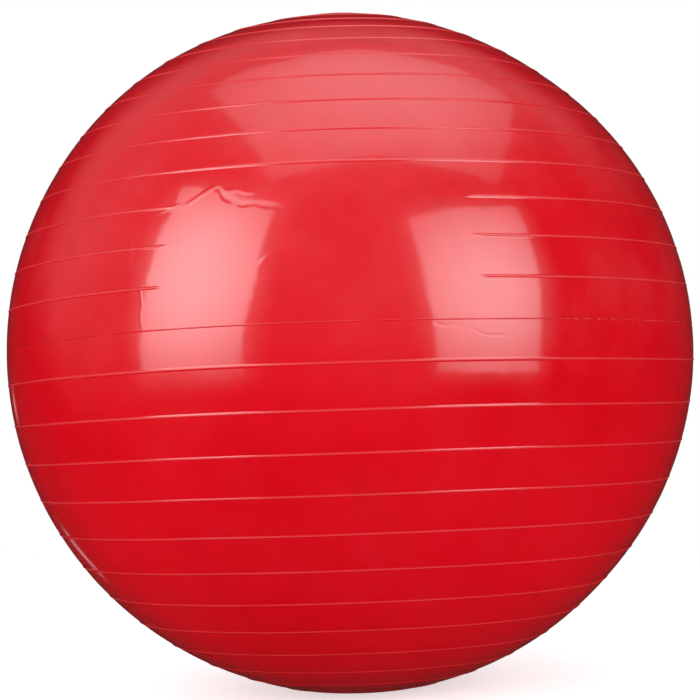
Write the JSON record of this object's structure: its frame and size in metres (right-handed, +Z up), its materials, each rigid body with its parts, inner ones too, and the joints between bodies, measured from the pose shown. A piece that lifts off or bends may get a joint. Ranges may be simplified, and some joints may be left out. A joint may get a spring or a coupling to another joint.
{
  "type": "exercise ball",
  "caption": "Hollow inflated exercise ball with fine raised rings, a smooth panel, and a stoppered valve at its upper pole, standing on a flattened floor patch.",
  "frame": {"origin": "middle of the flat patch that the ball stands on", "axes": "+Z up through the valve at the upper pole, which is the axis of the rings; the smooth panel faces -Y"},
  "size_m": [0.6508, 0.6508, 0.6412],
  "materials": {
    "ball_skin": "gloss",
    "valve_seat": "satin",
    "valve_plug": "satin"
  },
  "bodies": {
    "ball": {"ball_skin": "ball_skin", "valve_seat": "valve_seat"},
    "plug": {"valve_plug": "valve_plug"}
  },
  "joints": [
    {"name": "plug_pull", "type": "slide", "parent": "ball", "child": "plug", "axis": [0, 0, 1], "range_m": [0, 0.034]}
  ]
}
